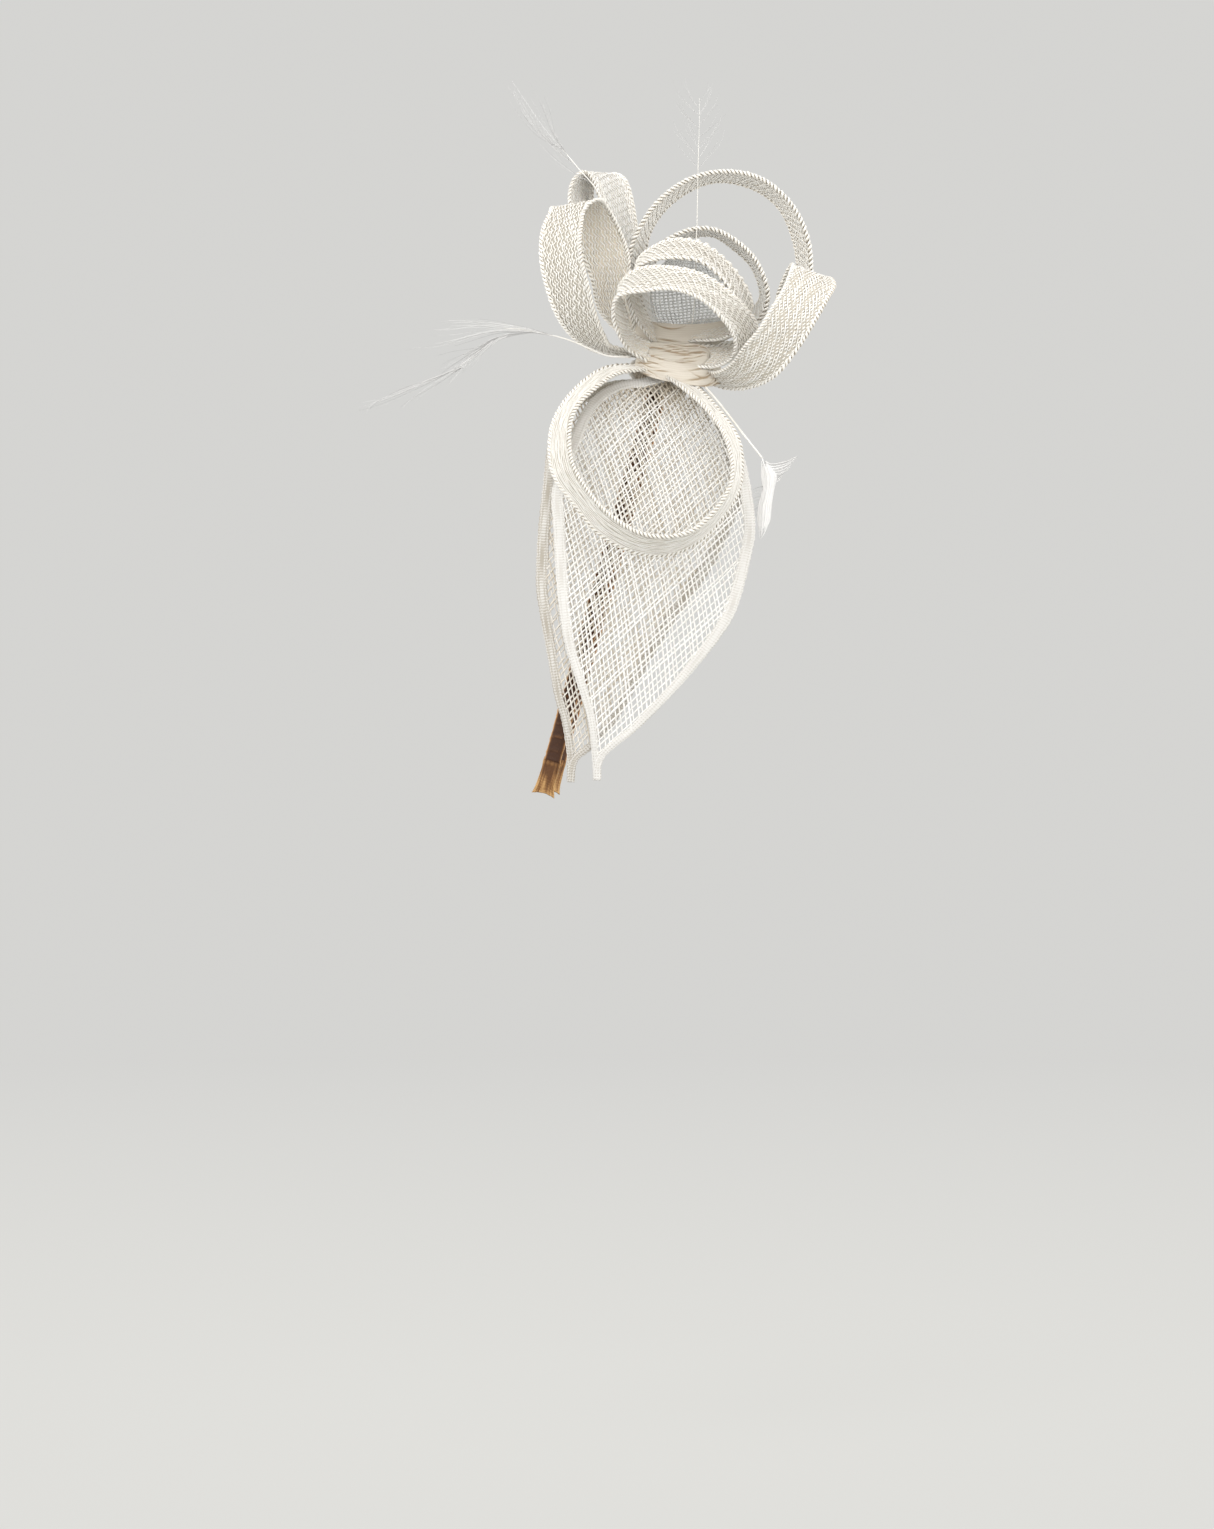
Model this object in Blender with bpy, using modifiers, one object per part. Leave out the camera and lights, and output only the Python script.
"""Fascinator headpiece: a satin-covered steel headband that carries, on the wearer's right, a sewn knot
with looped straw tape, a pair of bound sinamay leaves, a ring of tape over the leaves and four stripped
feathers.  It lies as it is worn: +X to the wearer's front, +Y to the wearer's left, +Z up, with the
origin on the inner face of the headband at its crown.

The band's pieces are called left and right by the wearer's sides.  The ornament's pieces are named as
seen from the wearer's right: left is towards -X, right towards +X, front is outermost (-Y) and back
is nearer the head.  Lengths are millimetres and become metres when a mesh is made.
"""

import math

import bmesh
import bpy
import numpy as np
from mathutils import Matrix, Vector

for old in list(bpy.data.objects):
    bpy.data.objects.remove(old, do_unlink=True)
PARTS = bpy.data.collections.new("fascinator_headpiece")
CUTTERS = bpy.data.collections.new("fascinator_cutters")
for made in (PARTS, CUTTERS):
    bpy.context.scene.collection.children.link(made)

MM = 0.001
AIR = 0.35  # space kept between neighbours

# ---- headband sizes ---------------------------------------------------------------------------
BAND_TILT = 15.5  # degrees the band's plane tips forward at the top, so its ends lie behind the crown
HALF_WIDTH = 72.0  # from the middle to the inner face, at the widest point
CROWN_FLAT = 7.0  # half length of the straight stretch on top
CROWN_DROP = 88.0  # from the crown down to the widest point, along the band's plane
LOWER_TAPER = 175.0  # how slowly the sides close again below the widest point
BAND_STEPS = 22
SPLIT_Y, SPLIT_GAP = 5.5, 0.8  # where the band's two halves part, left of the middle

SLEEVE_END = 141.0  # how far down the satin sleeve reaches
SLEEVE_W, SLEEVE_T, SLEEVE_WALL = 5.6, 2.6, 0.5
HOLLOW_OVERRUN = 3.0  # the hollow's cutter runs past the sleeve at both ends
CORE_W, CORE_T = 4.0, 1.0
CORE_SHORT = 1.0  # the core stops this far above the sleeve's end
BAND_END = 153.0
END_W = 6.3
END_PROUD = 0.2  # the gathered end stands past each face of the sleeve
END_FLARE = 0.25  # and by this much more at its lower end
END_STEPS = 4

# ---- the ornament's seat on the band ----------------------------------------------------------
SEAT_Y = -38.0
SEAT_REACH = 0.5  # the seat's slope is taken between points this far above and below it
DISC_R, DISC_T = 11.0, 1.0
PAD_R, PAD_T = 9.0, 1.2
PAD_GAP = 1.0  # from the band's inner face to the felt
KNOT_HALF = (9.5, 8.6, 5.0)  # half sizes of the knot: across the band, along it, outwards

# ---- tape -------------------------------------------------------------------------------------
TAPE_T = 0.8
MESH_TAPE_T = 0.7

# A tape is a list of rulings across it, each two points (x, y, z):
# (edge nearer the wearer's right, edge nearer the head's middle).
LOOPS = {
    "left_loop": [
        ((-11.5, -51, -0.5), (-12.5, -43, -1.5)), ((-18.5, -55, 0.5), (-21.5, -43.5, -0.5)),
        ((-20.5, -60, 2.5), (-27.5, -47, 1.5)), ((-23.5, -65, 9), (-33.5, -53, 6)),
        ((-26, -68, 18), (-38, -58, 13.5)), ((-28.5, -68, 28.5), (-41.5, -59, 26.5)),
        ((-28.5, -65, 37), (-41.5, -56, 37.5)), ((-27, -60, 45), (-39, -49.5, 45)),
        ((-22.5, -53, 49), (-38, -48, 47)), ((-19.5, -47, 47), (-33, -38, 46)),
        ((-15, -45, 38.5), (-29, -37.5, 36)), ((-12.5, -45, 29.5), (-25, -37.5, 24.5)),
        ((-12.5, -44.5, 17), (-22, -34, 14)), ((-9.5, -44, 3), (-11.5, -37, 3.5)),
    ],
    "left_back_loop": [
        ((-8.5, -31.5, 4), (-7.5, -24.5, 5)), ((-20.5, -27, 19), (-15, -15, 21.5)),
        ((-29.5, -25.5, 36), (-21.5, -12, 38)), ((-32.5, -25, 49.5), (-24, -12, 51)),
        ((-32.5, -25, 57), (-25, -11, 58.5)), ((-30.5, -25, 61.5), (-22.5, -10.5, 63)),
        ((-27.5, -24.5, 63), (-17.5, -11, 64.5)), ((-25, -23.5, 60.5), (-13.8, -12, 62.5)),
        ((-22.5, -22.5, 54.5), (-11.6, -12, 56.5)), ((-18.8, -22.5, 44.5), (-9.8, -12, 46)),
        ((-13, -23.5, 29.5), (-7.8, -11, 31)), ((-5.5, -26, 15.5), (-4.5, -14, 16.5)),
        ((-2, -31.5, 4), (-1.5, -24.5, 5)),
    ],
    "arch_loop": [
        ((-8.5, -40.5, 4), (-4.3, -34.2, 5.2)), ((-12.3, -41, 17), (-7.7, -29, 18)),
        ((-12.5, -43, 32), (-7.3, -28, 33.5)), ((-9, -43, 41.5), (-5.5, -27.5, 42.5)),
        ((-2.5, -43, 50.5), (0.5, -27.5, 51)), ((7.5, -43, 57.5), (10, -27, 57.5)),
        ((19.5, -43, 60), (19.5, -27, 59.5)), ((31.5, -43, 57.5), (30.5, -27, 56.5)),
        ((41, -43, 49.5), (38.5, -27, 50)), ((46.5, -42, 39), (43, -26.5, 40)),
        ((48, -41, 27.5), (44.5, -25.5, 30)), ((46, -40, 15.5), (43, -24.5, 18.5)),
        ((36, -40, 3.5), (34, -27, 7)), ((12.5, -40, 1.5), (11.5, -33, 3.5)),
    ],
    "curl_lower": [
        ((-6.6, -58, -4.6), (-6, -50.5, 2.5)), ((-12.5, -61, -1.8), (-10, -50.5, 4)),
        ((-16, -66, 2.5), (-12.8, -52.5, 7)), ((-18, -70.5, 8.5), (-14, -55.5, 12)),
        ((-16.5, -75, 14), (-16, -60, 19)), ((-8.5, -77, 15.5), (-10, -63.5, 24.5)),
        ((1, -78, 16), (1, -65, 25)), ((10, -78, 13), (12.5, -65, 22)),
        ((17, -76, 7), (23, -63, 14.5)), ((21.5, -71.5, 0.5), (29, -58, 7.5)),
        ((20.5, -66, -4.8), (28, -52.5, 2.5)), ((15.5, -61.5, -7), (19.5, -49.5, 1.5)),
        ((9.7, -58.5, -6.9), (10.2, -50.5, 1)),
    ],
    "curl_middle": [
        ((-5.5, -51.5, 3.4), (-4, -45, 7)), ((-10, -56, 8.5), (-6.5, -46, 11)),
        ((-13, -60, 15), (-9.5, -46, 19)), ((-12.3, -61.5, 22), (-10.5, -46, 26.5)),
        ((-7.5, -61.5, 27), (-8, -46.5, 32)), ((1.5, -61.5, 28.5), (1, -47.5, 36.5)),
        ((10, -61.5, 27.5), (11, -48, 35.5)), ((16.5, -61.5, 23), (19.5, -47.5, 29.5)),
        ((21.5, -61, 16), (26, -47, 21)), ((23, -60, 8), (28, -47, 14)),
        ((19, -57, 3), (23.5, -46, 10)), ((8.5, -51, 2.6), (9.5, -44.5, 8)),
    ],
    "curl_back": [
        ((-2.2, -42.5, 4.5), (-1.2, -35.5, 5)), ((-7.2, -42.5, 12.5), (-4.5, -29.5, 15)),
        ((-9.2, -43.5, 20), (-5.5, -28, 23)), ((-8.2, -43.5, 28), (-4.5, -27.5, 31)),
        ((-2.5, -43.5, 35.5), (-0.5, -27.5, 36.5)), ((7.5, -43.5, 40.5), (8.5, -27.5, 40.5)),
        ((16, -43.5, 40.5), (16, -27.5, 41)), ((24, -43.5, 36), (23, -27.5, 36.5)),
        ((30, -43.5, 29.5), (29, -27.5, 30.5)), ((33.5, -43.5, 19.5), (32, -27.5, 22)),
        ((31.5, -43, 11.5), (30, -29, 17)), ((24, -42.5, 6.5), (23.5, -30.5, 14)),
        ((6, -42.5, 4.4), (6.5, -35, 10)),
    ],
    "right_loop": [
        ((12, -54.5, -7), (12, -47, -9.5)), ((15.5, -61, -9), (18, -48, -12.5)),
        ((20.5, -68, -7), (26.5, -56, -13.5)), ((24.5, -74, -2), (35, -65.5, -10.5)),
        ((29, -77, 3), (42.5, -70, -1.5)), ((32.5, -77, 9), (47.5, -71.5, 6.5)),
        ((37, -74, 16.5), (52, -68.5, 14.5)), ((40, -67, 24), (54.5, -61.5, 19.5)),
        ((40.5, -61, 26.5), (53.5, -52.5, 23)), ((39, -58, 24.5), (50.5, -48, 22.5)),
        ((36.5, -56, 18.5), (46, -45, 16)), ((34, -53, 9), (41, -42, 6.5)),
        ((27.5, -47.5, -0.5), (31.5, -41, -2)), ((13.5, -46, -3), (14, -40, -3.5)),
    ],
    "ring_loop": [
        ((-6.5, -58, -7.5), (-8.5, -52.3, -5)), ((-16, -64, -9.5), (-20.5, -52.5, -6.5)),
        ((-23, -71, -14.5), (-29, -56.5, -12.5)), ((-29.5, -77, -21.5), (-35.5, -62, -21)),
        ((-32, -83, -30), (-38.5, -68.5, -30.5)), ((-31, -89, -41), (-37.5, -74.5, -43)),
        ((-25.5, -94, -51), (-30.5, -79, -53.5)), ((-18.5, -97, -58.5), (-22, -82, -63.5)),
        ((-9.5, -99, -64), (-10, -84, -69.5)), ((0.5, -99, -65), (1.5, -83.5, -69.5)),
        ((9.5, -97, -61.5), (12, -81.5, -63.5)), ((17.5, -94, -52), (21, -78.5, -52)),
        ((20, -90, -43.5), (23.5, -75, -43)), ((18, -85, -32.5), (22.5, -70.5, -31.5)),
        ((12.5, -77, -23), (15.5, -64.5, -20.5)), ((5.5, -69, -15.5), (8.5, -59, -13)),
        ((0, -63, -11), (1.5, -56, -9.5)),
    ],
}
KNOT_WRAP = [
    ((-5.6, -57.8, -5.2), (-5, -51, 1.6)), ((1.5, -58.3, -6.7), (1.5, -51.5, 1.3)),
    ((8.7, -58.5, -6.9), (9.2, -50.8, 1)),
]
# Upright panel of mesh, its rulings from the -X edge to the +X edge.
INNER_MESH = [
    ((-1.5, -40.5, 8), (21, -40.5, 9.4)), ((-4.4, -40, 13), (26, -40, 15)),
    ((-5.3, -39.5, 19.5), (26, -39.5, 21)), ((-4, -39.5, 26.5), (22, -39.5, 27.5)),
    ((2, -39.5, 32.5), (15, -39.5, 32.5)),
]

# ---- leaves -----------------------------------------------------------------------------------
LEAF_T, BINDING_T, BINDING_W = 0.8, 1.5, 3.9
BINDING_TIP_W = 2.4  # where the two sides close on the tip
NARROW_FROM, NARROW_OVER = 0.55, 0.35  # shares of a side's length over which the binding narrows
MESH_GAP = 0.9  # between the binding's inner edge and the mesh
CLEARANCE = 0.93  # share of the inset that a moved point must keep from both sides
FRONT_LEAF_LIFT = 3.0  # how far the front leaf stands outside the back one
LEAF_CUP = 3.0  # how far the surface bends towards the head, CUP_REACH from CUP_X
CUP_X, CUP_REACH = -6.0, 35.0
BINDING_POINTS = 30  # along each side
MESH_POINTS, MESH_COLUMNS = 22, 6
FINE_STEPS = 240  # for measuring along a smooth line

# Each side of a leaf's outline as (x, z), from the knot down to the tip.
FRONT_LEAF_LEFT = [
    (-7.5, -9.5), (-15.5, -10.8), (-22.5, -14.5), (-28, -21), (-31.8, -30), (-35.5, -39.5),
    (-38, -49.5), (-37.5, -59), (-37, -68.5), (-36, -83), (-34, -97), (-30.5, -109),
    (-26.5, -122), (-25, -133.5), (-24.5, -142.5),
]
FRONT_LEAF_RIGHT = [
    (7.5, -10.5), (13, -15), (20.5, -25.5), (25.5, -40.5), (28, -59), (26.5, -70.5),
    (22, -87), (16.5, -96.5), (9, -106), (1, -115), (-10, -126), (-20.5, -135), (-22, -142.5),
]
BACK_LEAF_LEFT = [
    (-7.5, -9.5), (-19, -10.5), (-29.5, -15.5), (-36, -23), (-39.3, -32), (-41, -47.5),
    (-42.5, -63), (-43, -78), (-42, -87), (-39.5, -101), (-37, -115), (-34.5, -124),
    (-33, -134.5), (-33, -143),
]
BACK_LEAF_RIGHT = [
    (7.5, -10.5), (12, -14), (18.5, -24.5), (22.5, -36.5), (24, -50.5), (21, -59),
    (17, -68), (11.5, -77.5), (2, -91), (-7, -106), (-12.5, -116), (-18.5, -125.5),
    (-25, -132.5), (-29.5, -136.5), (-30.5, -143),
]
# (z, how far the back leaf stands out from the head's middle plane), going up.
LEAF_STAND_OFF = [
    (-160, 77), (-130, 79.5), (-110, 80), (-85, 79), (-60, 75), (-40, 68.5), (-25, 61),
    (-15, 54.5), (-8.5, 49.5), (-5, 46.5), (10, 34),
]

# ---- feathers ---------------------------------------------------------------------------------
QUILL_R = 0.45
QUILL_THINNING = 0.35  # share of the radius lost along the quill
PLUME_T = 0.8
FEATHER_STEPS = 10

# (name, points along the bare quill, rulings across the vane left at its end).
FEATHERS = [
    ("left",
     [(-12.5, -53.6, -3), (-20, -54.5, -2.6), (-26.5, -55, 0), (-34.5, -54, 3.2),
      (-46, -52, 6), (-54, -50, 7)],
     [((-55, -50, 8), (-55, -50, 5.8)), ((-68, -47.5, 9.5), (-66, -47.5, 1)),
      ((-82, -45, 8), (-77, -45.5, -13)), ((-96, -43, 2), (-88, -43, -20)),
      ((-107, -41, -14), (-100, -41, -21))]),
    ("upper_left",
     [(-6.5, -34.5, 5.5), (-11.5, -28.6, 20), (-17, -28, 38), (-22.5, -28, 54.5),
      (-30, -28, 64), (-35, -28, 70)],
     [((-36.5, -28, 69.5), (-35, -28, 71.5)), ((-44, -28, 74), (-36, -28, 83)),
      ((-51, -28, 86), (-44, -28, 92)), ((-54.5, -28, 94), (-51, -28, 96.5))]),
    ("upright",
     [(7.5, -46, 4.8), (9, -45.6, 16.5), (9.8, -45.6, 40), (10.3, -45.6, 64)],
     [((9.3, -45.6, 64.8), (11.3, -45.6, 64.8)), ((3.5, -45.6, 73), (18, -45.6, 72)),
      ((4.5, -45.6, 88), (19, -45.6, 86)), ((10, -45.6, 96.5), (13, -45.6, 96.5))]),
    ("drop",
     [(11, -57.5, -11.8), (17, -62.5, -19.5), (24, -66, -29), (30.5, -68, -37.5)],
     [((30.6, -68.4, -38.6), (32.6, -68, -37)), ((31, -69, -44), (38, -67, -40)),
      ((30.8, -70, -52), (36, -68.5, -48)), ((30.4, -71, -60), (33, -70, -58)),
      ((30, -71.5, -64), (31.4, -71, -63.5))]),
]

# ---- colours (RGBA) ---------------------------------------------------------------------------
IVORY = (0.86, 0.83, 0.76, 1)
IVORY_SHADE = (0.78, 0.73, 0.64, 1)
SINAMAY = (0.88, 0.87, 0.83, 1)
SINAMAY_GREY = (0.70, 0.72, 0.73, 1)
BRONZE = (0.24, 0.105, 0.03, 1)
GOLD_BROWN = (0.42, 0.21, 0.07, 1)
STEEL = (0.48, 0.48, 0.50, 1)
FELT = (0.80, 0.77, 0.70, 1)
FEATHER = (0.90, 0.90, 0.90, 1)


# ---- shared helpers ---------------------------------------------------------------------------
def finish(name, colour, roughness, metallic=0.0):
    mat = bpy.data.materials.new(name)
    mat.use_nodes = True
    shader = mat.node_tree.nodes["Principled BSDF"]
    shader.inputs["Base Color"].default_value = colour
    shader.inputs["Roughness"].default_value = roughness
    shader.inputs["Metallic"].default_value = metallic
    return mat


def smooth_through(points, t):
    """Catmull-Rom through the points, with t from 0 to 1 over the whole list."""
    spans = len(points) - 1
    i = min(int(t * spans), spans - 1)
    u = t * spans - i
    start, end = Vector(points[i]), Vector(points[i + 1])
    before = Vector(points[i - 1]) if i else 2 * start - end
    after = Vector(points[i + 2]) if i + 2 <= spans else 2 * end - start
    return 0.5 * (
        2 * start
        + (end - before) * u
        + (2 * before - 5 * start + 4 * end - after) * u * u
        + (3 * start - before - 3 * end + after) * u ** 3
    )


def normal_at(line, i):
    """Unit normal of a 2D line at its point i, a quarter turn anticlockwise from its direction."""
    along = (line[min(i + 1, len(line) - 1)] - line[max(i - 1, 0)]).normalized()
    return Vector((-along.y, along.x))


def add_object(name, data, mat, origin=(0, 0, 0), collection=PARTS):
    obj = bpy.data.objects.new(name, data)
    data.materials.append(mat)
    obj.location = Vector(origin) * MM
    collection.objects.link(obj)
    return obj


def smooth_mesh(name, bm):
    mesh = bpy.data.meshes.new(name)
    bm.to_mesh(mesh)
    bm.free()
    mesh.shade_smooth()
    return mesh


def thicken(obj, thickness, even):
    solid = obj.modifiers.new("thickness", "SOLIDIFY")
    solid.thickness = thickness * MM
    solid.offset = 0
    solid.use_even_offset = even


def sheet(name, rows, thickness, mat, origin=(0, 0, 0)):
    """A sheet through rows of points, given its thickness by Solidify."""
    bm = bmesh.new()
    grid = [[bm.verts.new((Vector(p) - Vector(origin)) * MM) for p in row] for row in rows]
    for row, after in zip(grid, grid[1:]):
        for k in range(len(row) - 1):
            bm.faces.new((row[k], row[k + 1], after[k + 1], after[k]))
    obj = add_object(name, smooth_mesh(name, bm), mat, origin)
    thicken(obj, thickness, even=True)


def tape(name, rulings, mat, steps, thickness=TAPE_T, columns=1, origin=(0, 0, 0)):
    """A sheet whose two long edges run smoothly through the ends of the rulings."""
    edges = list(zip(*rulings))
    rows = []
    for i in range(steps + 1):
        start, end = (smooth_through(edge, i / steps) for edge in edges)
        rows.append([start.lerp(end, k / columns) for k in range(columns + 1)])
    sheet(name, rows, thickness, mat, origin)


# ---- headband ---------------------------------------------------------------------------------
LEAN = math.radians(BAND_TILT)
UP = Vector((math.sin(LEAN), 0, math.cos(LEAN)))  # up in the band's plane
ACROSS = Vector((math.cos(LEAN), 0, -math.sin(LEAN)))  # square to that plane, to the front
BAND_AXES = Matrix((Vector((0, 1, 0)), UP, ACROSS)).transposed().to_4x4()
HINGE = Vector((SPLIT_Y, SLEEVE_T / 2))  # the left half's origin, in the band's plane


def band_line(s):
    """Inner face of one half in the band's plane, s being how far down it is: (outwards, up)."""
    if s <= CROWN_DROP:
        rise = 1 - s / CROWN_DROP
        bulge = math.sqrt(max(0.0, 1 - rise * rise))
        return Vector((CROWN_FLAT + (HALF_WIDTH - CROWN_FLAT) * bulge, -s))
    return Vector((HALF_WIDTH * math.sqrt(1 - ((s - CROWN_DROP) / LOWER_TAPER) ** 2), -s))


def path_from_crown(start, end):
    """Points from `start` mm out along the flat crown to `end` mm down, closest near the crown."""
    angles = [i / BAND_STEPS * math.pi / 2 for i in range(BAND_STEPS + 1)]
    return [Vector((start, 0.0))] + [band_line(end * (1 - math.cos(angle))) for angle in angles]


def path_of_end():
    """Points down the gathered end, below the sleeve."""
    first = SLEEVE_END + AIR
    return [band_line(first + (BAND_END - first) * i / END_STEPS) for i in range(END_STEPS + 1)]


def band_piece(name, side, path, low, high, width, mat, collection=PARTS, flare=0.0):
    """A strip along the path between two heights over the band's inner face.

    `side` is 1 for the left half and -1 for the right; the flare thickens it towards its lower end.
    """
    inner, outer = [], []
    for i, point in enumerate(path):
        normal = normal_at(path, i)
        grow = flare * i / (len(path) - 1)
        inner.append(point + normal * (low - grow))
        outer.append(point + normal * (high + grow))
    outline = inner + outer[::-1]

    origin = HINGE if side > 0 else Vector((0, 0))
    curve = bpy.data.curves.new(name, "CURVE")
    curve.dimensions = "2D"
    curve.fill_mode = "BOTH"
    curve.extrude = width / 2 * MM
    spline = curve.splines.new("POLY")
    spline.points.add(len(outline) - 1)
    for target, point in zip(spline.points, outline):
        target.co = (*((Vector((point.x * side, point.y)) - origin) * MM), 0, 1)
    spline.use_cyclic_u = True

    guide = bpy.data.objects.new(name + "_outline", curve)
    collection.objects.link(guide)
    graph = bpy.context.evaluated_depsgraph_get()
    mesh = bpy.data.meshes.new_from_object(guide.evaluated_get(graph))
    mesh.name = name
    bpy.data.objects.remove(guide, do_unlink=True)

    # The filled faces and the extruded rim come apart from each other, so they are welded.
    bm = bmesh.new()
    bm.from_mesh(mesh)
    bmesh.ops.remove_doubles(bm, verts=bm.verts, dist=1e-6)
    bmesh.ops.recalc_face_normals(bm, faces=bm.faces)
    bm.to_mesh(mesh)
    bm.free()

    obj = add_object(name, mesh, mat, collection=collection)
    place = BAND_AXES.copy()
    place.translation = (Vector((0, origin.x, 0)) + UP * origin.y) * MM
    obj.matrix_world = place
    return obj


def cut(obj, cutter):
    cutter.hide_render = True
    cutter.display_type = "WIRE"
    mod = obj.modifiers.new("cut", "BOOLEAN")
    mod.operation = "DIFFERENCE"
    mod.solver = "EXACT"
    mod.object = cutter


def half_band(word, side, start, satin, ribbon, steel):
    """Steel core, hollow satin sleeve and gathered end of one half."""
    middle = SLEEVE_T / 2
    band_piece("band_core_" + word, side, path_from_crown(start, SLEEVE_END - CORE_SHORT),
               middle - CORE_T / 2, middle + CORE_T / 2, CORE_W, steel)
    sleeve = band_piece("satin_sleeve_" + word, side, path_from_crown(start, SLEEVE_END),
                        0, SLEEVE_T, SLEEVE_W, satin)
    hollow_path = path_from_crown(start - HOLLOW_OVERRUN, SLEEVE_END + HOLLOW_OVERRUN)
    hollow = band_piece("hollow_" + word, side, hollow_path, SLEEVE_WALL, SLEEVE_T - SLEEVE_WALL,
                        SLEEVE_W - 2 * SLEEVE_WALL, satin, collection=CUTTERS)
    cut(sleeve, hollow)
    band_piece("gathered_end_" + word, side, path_of_end(), -END_PROUD, SLEEVE_T + END_PROUD,
               END_W, ribbon, flare=END_FLARE)


def headband():
    satin = finish("bronze_satin", BRONZE, roughness=0.42)
    ribbon = finish("gold_brown_ribbon", GOLD_BROWN, roughness=0.5)
    steel = finish("spring_steel", STEEL, roughness=0.35, metallic=1.0)
    # The right half runs on over the middle, up to the split.
    half_band("right", -1, -(SPLIT_Y - SPLIT_GAP / 2), satin, ribbon, steel)
    half_band("left", 1, SPLIT_Y + SPLIT_GAP / 2, satin, ribbon, steel)


# ---- the seat: disc over the band, felt under it, knot on top ---------------------------------
def seat_matrix():
    """Frame on the band's inner face at SEAT_Y: x across the band, z outwards."""
    out = (abs(SEAT_Y) - CROWN_FLAT) / (HALF_WIDTH - CROWN_FLAT)
    s = CROWN_DROP * (1 - math.sqrt(1 - out ** 2))
    nearby = [band_line(s + step) for step in (-SEAT_REACH, 0, SEAT_REACH)]

    def world(v):
        return Vector((0, -v.x, 0)) + UP * v.y

    normal = world(normal_at(nearby, 1)).normalized()
    matrix = Matrix((ACROSS, normal.cross(ACROSS), normal)).transposed().to_4x4()
    matrix.translation = world(nearby[1]) * MM
    return matrix


def seated(name, bm, mat, height):
    """The bmesh as an object centred at a height over the band's inner face at the seat."""
    mesh = smooth_mesh(name, bm)
    mesh.set_sharp_from_angle(angle=math.radians(40))
    obj = add_object(name, mesh, mat)
    obj.matrix_world = seat_matrix() @ Matrix.Translation((0, 0, height * MM))


def disc(radius, thickness):
    bm = bmesh.new()
    bmesh.ops.create_cone(bm, cap_ends=True, segments=32, radius1=radius * MM,
                          radius2=radius * MM, depth=thickness * MM)
    return bm


def knot_lump():
    bm = bmesh.new()
    stretch = Matrix.Diagonal((*(half * MM for half in KNOT_HALF), 1))
    bmesh.ops.create_uvsphere(bm, u_segments=20, v_segments=10, radius=1.0, matrix=stretch)
    return bm


def seat():
    disc_height = SLEEVE_T + AIR + DISC_T / 2
    knot_height = disc_height + DISC_T / 2 + AIR + KNOT_HALF[2]
    seated("base_disc", disc(DISC_R, DISC_T),
           finish("stiffened_sinamay", SINAMAY, roughness=0.7), disc_height)
    seated("felt_pad", disc(PAD_R, PAD_T),
           finish("ivory_felt", FELT, roughness=0.95), -(PAD_GAP + PAD_T / 2))
    seated("sewn_knot", knot_lump(),
           finish("gathered_tape", IVORY_SHADE, roughness=0.55), knot_height)


# ---- tapes ------------------------------------------------------------------------------------
def tapes():
    tape("knot_wrap", KNOT_WRAP, finish("knot_wrap_tape", IVORY, roughness=0.5), steps=10)
    for name, rulings in LOOPS.items():
        mat = finish(name + "_tape", IVORY, roughness=0.48)
        tape(name, rulings, mat, steps=2 * len(rulings))
    tape("inner_mesh", INNER_MESH, finish("open_sinamay", SINAMAY_GREY, roughness=0.6),
         steps=8, columns=3, thickness=MESH_TAPE_T)


# ---- leaves -----------------------------------------------------------------------------------
def leaf_point(point, lift):
    """A point (x, z) of the outline laid on the cupped surface."""
    x, z = point
    stand_off = np.interp(z, *zip(*LEAF_STAND_OFF)) + lift
    return Vector((x, -stand_off + LEAF_CUP * ((x - CUP_X) / CUP_REACH) ** 2, z))


def evenly(points, count):
    """`count` points at equal distances along the smooth line through these."""
    fine = [smooth_through(points, i / FINE_STEPS) for i in range(FINE_STEPS + 1)]
    run = [0.0]
    for start, end in zip(fine, fine[1:]):
        run.append(run[-1] + (end - start).length)
    spaced, k = [], 0
    for i in range(count):
        want = run[-1] * i / (count - 1)
        while k < FINE_STEPS - 1 and run[k + 1] < want:
            k += 1
        share = (want - run[k]) / max(run[k + 1] - run[k], 1e-9)
        spaced.append(fine[k].lerp(fine[k + 1], min(share, 1)))
    return spaced


def distance_to_line(point, line):
    best = 1e9
    for start, end in zip(line, line[1:]):
        span = end - start
        t = max(0.0, min(1.0, (point - start).dot(span) / max(span.length_squared, 1e-12)))
        best = min(best, (point - start - span * t).length)
    return best


def inset(line, other, turn, more=0.0):
    """The line moved inwards by the binding's width and `more`.

    Points too close to either side are dropped: gaps are bridged and the ends are left None.
    `turn` is 1 for a leaf's left side and -1 for its right.
    """
    moved = []
    for i, point in enumerate(line):
        share = (i / (len(line) - 1) - NARROW_FROM) / NARROW_OVER
        near_tip = max(0.0, min(1.0, share))
        by = BINDING_W + (BINDING_TIP_W - BINDING_W) * near_tip + more
        inner = point + normal_at(line, i) * by * turn
        room = min(distance_to_line(inner, line), distance_to_line(inner, other))
        moved.append(inner if room > by * CLEARANCE else None)
    held = [i for i, inner in enumerate(moved) if inner is not None]
    for low, high in zip(held, held[1:]):
        for i in range(low + 1, high):
            moved[i] = moved[low].lerp(moved[high], (i - low) / (high - low))
    return moved


def binding_inner_edge(line, other, turn):
    """Inner edge of the binding from the knot down to its last clear point."""
    edge = inset(line, other, turn)
    held = [i for i, inner in enumerate(edge) if inner is not None]
    first, last = held[0], held[-1]
    top = [edge[first] + (line[i] - line[first]) for i in range(first)]
    return top + edge[first:last + 1]


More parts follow.
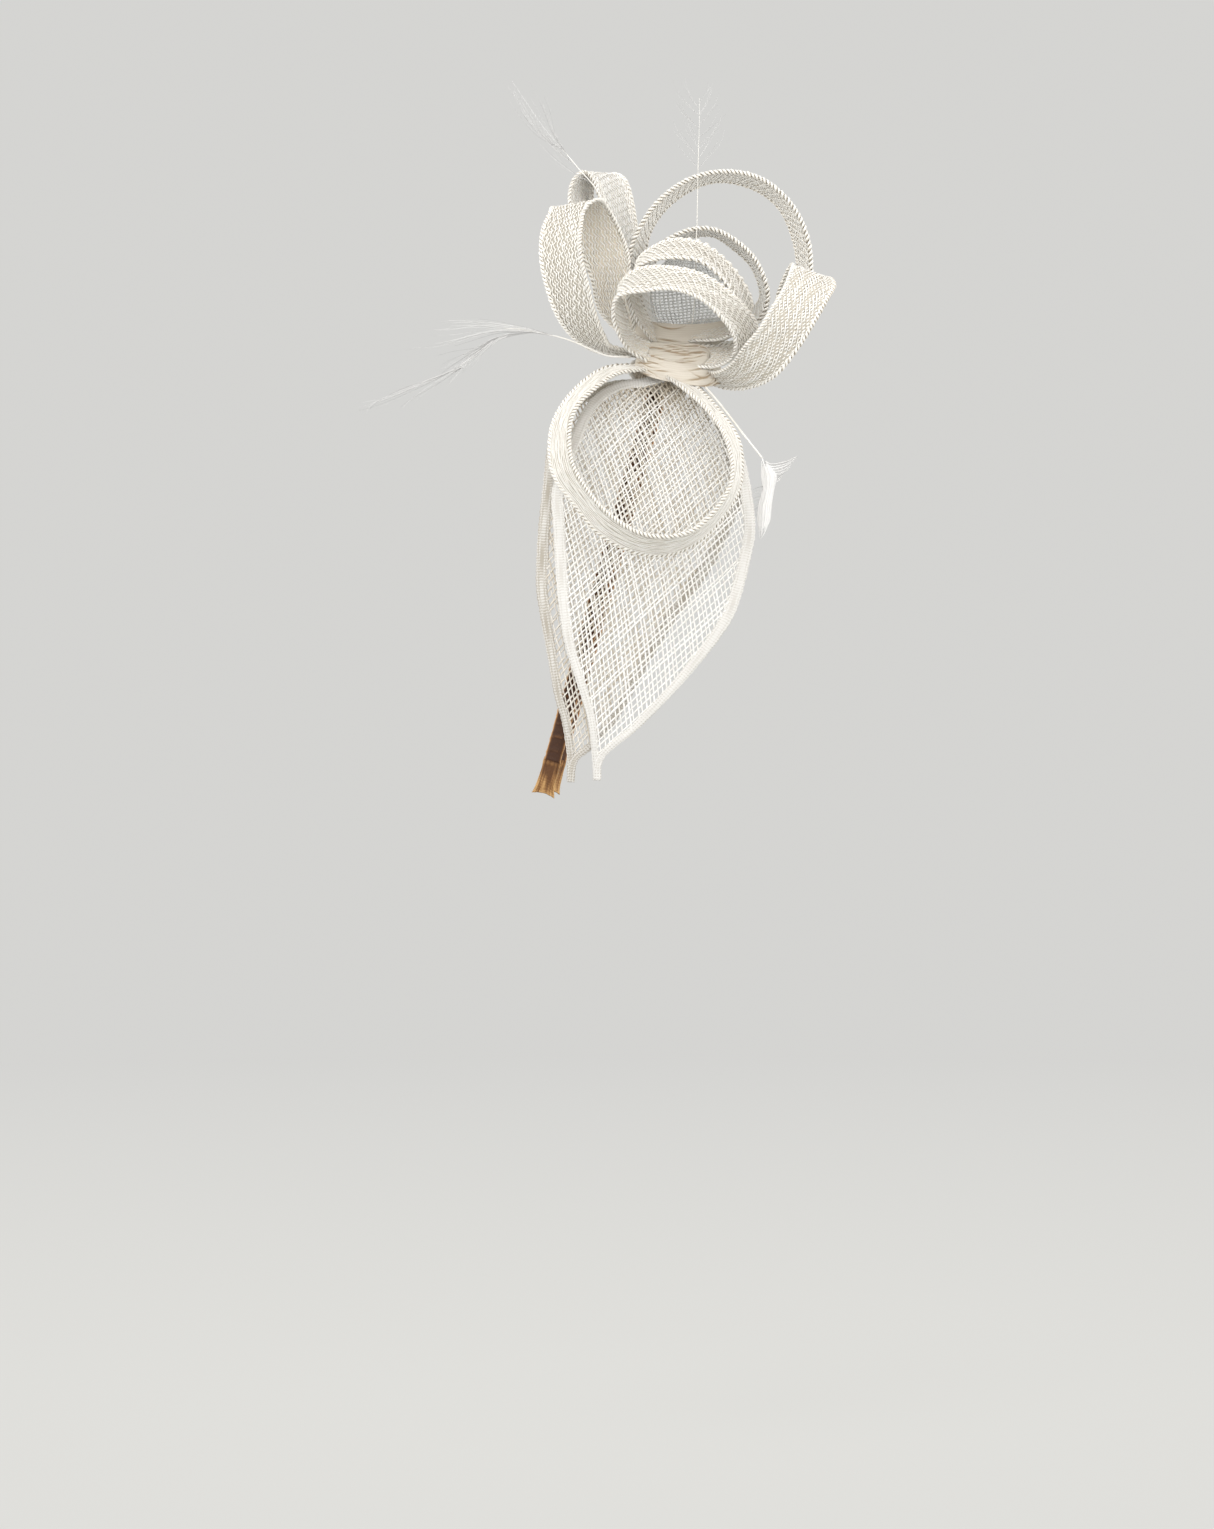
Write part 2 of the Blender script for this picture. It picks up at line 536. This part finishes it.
def leaf_binding(name, sides, lift):
    """A strip down the left side and up the right, its inner edges closing on one apex."""
    edges = [binding_inner_edge(*side) for side in sides]
    bm = bmesh.new()

    def vert(point):
        return bm.verts.new(leaf_point(point, lift) * MM)

    apex = vert((edges[0][-1] + edges[1][-1]) / 2)
    # Pairs of outer and inner points, the inner one being None where the apex takes its place.
    down, up = [
        list(zip(side[0], edge[:-1] + [None] * (BINDING_POINTS + 1 - len(edge))))
        for side, edge in zip(sides, edges)
    ]
    pairs = [(vert(outer), apex if inner is None else vert(inner))
             for outer, inner in down + up[::-1]]
    for (outer, inner), (next_outer, next_inner) in zip(pairs, pairs[1:]):
        if inner is next_inner:
            bm.faces.new((outer, inner, next_outer))
        else:
            bm.faces.new((outer, inner, next_inner, next_outer))
    obj = add_object(name, smooth_mesh(name, bm), finish(name, IVORY, roughness=0.5))
    thicken(obj, BINDING_T, even=False)


def leaf_mesh(word, sides, lift):
    """The sheet inside the binding."""
    rails = []
    for side in sides:
        clear = [p for p in inset(*side, more=MESH_GAP)[1:] if p is not None]
        rails.append(evenly(clear[:-1], MESH_POINTS))
    rows = [
        [leaf_point(start.lerp(end, k / MESH_COLUMNS), lift) for k in range(MESH_COLUMNS + 1)]
        for start, end in zip(*rails)
    ]
    mat = finish(word + "_leaf_sinamay", SINAMAY, roughness=0.6)
    sheet(word + "_leaf_mesh", rows, LEAF_T, mat)


def leaf(word, left, right, lift):
    left, right = evenly(left, BINDING_POINTS), evenly(right, BINDING_POINTS)
    sides = ((left, right, 1), (right, left, -1))
    leaf_binding(word + "_leaf_binding", sides, lift)
    leaf_mesh(word, sides, lift)


# ---- feathers ---------------------------------------------------------------------------------
def quill(name, points, mat):
    origin = Vector(points[0])
    curve = bpy.data.curves.new(name, "CURVE")
    curve.dimensions = "3D"
    curve.bevel_depth = QUILL_R * MM
    curve.bevel_resolution = 2
    curve.use_fill_caps = True
    spline = curve.splines.new("POLY")
    spline.points.add(FEATHER_STEPS)
    for i, target in enumerate(spline.points):
        t = i / FEATHER_STEPS
        target.co = (*((smooth_through(points, t) - origin) * MM), 1)
        target.radius = 1.0 - QUILL_THINNING * t
    spline.use_smooth = True
    add_object(name, curve, mat, origin)


def feather(word, points, rulings):
    """A quill and its vane, both with their origin at the quill's foot."""
    shaft, plume = "quill_" + word, "plume_" + word
    quill(shaft, points, finish(shaft + "_shaft", FEATHER, roughness=0.35))
    tape(plume, rulings, finish(plume + "_barbs", FEATHER, roughness=0.7),
         steps=FEATHER_STEPS, thickness=PLUME_T, origin=points[0])


headband()
seat()
tapes()
leaf("back", BACK_LEAF_LEFT, BACK_LEAF_RIGHT, lift=0.0)
leaf("front", FRONT_LEAF_LEFT, FRONT_LEAF_RIGHT, lift=FRONT_LEAF_LIFT)
for entry in FEATHERS:
    feather(*entry)
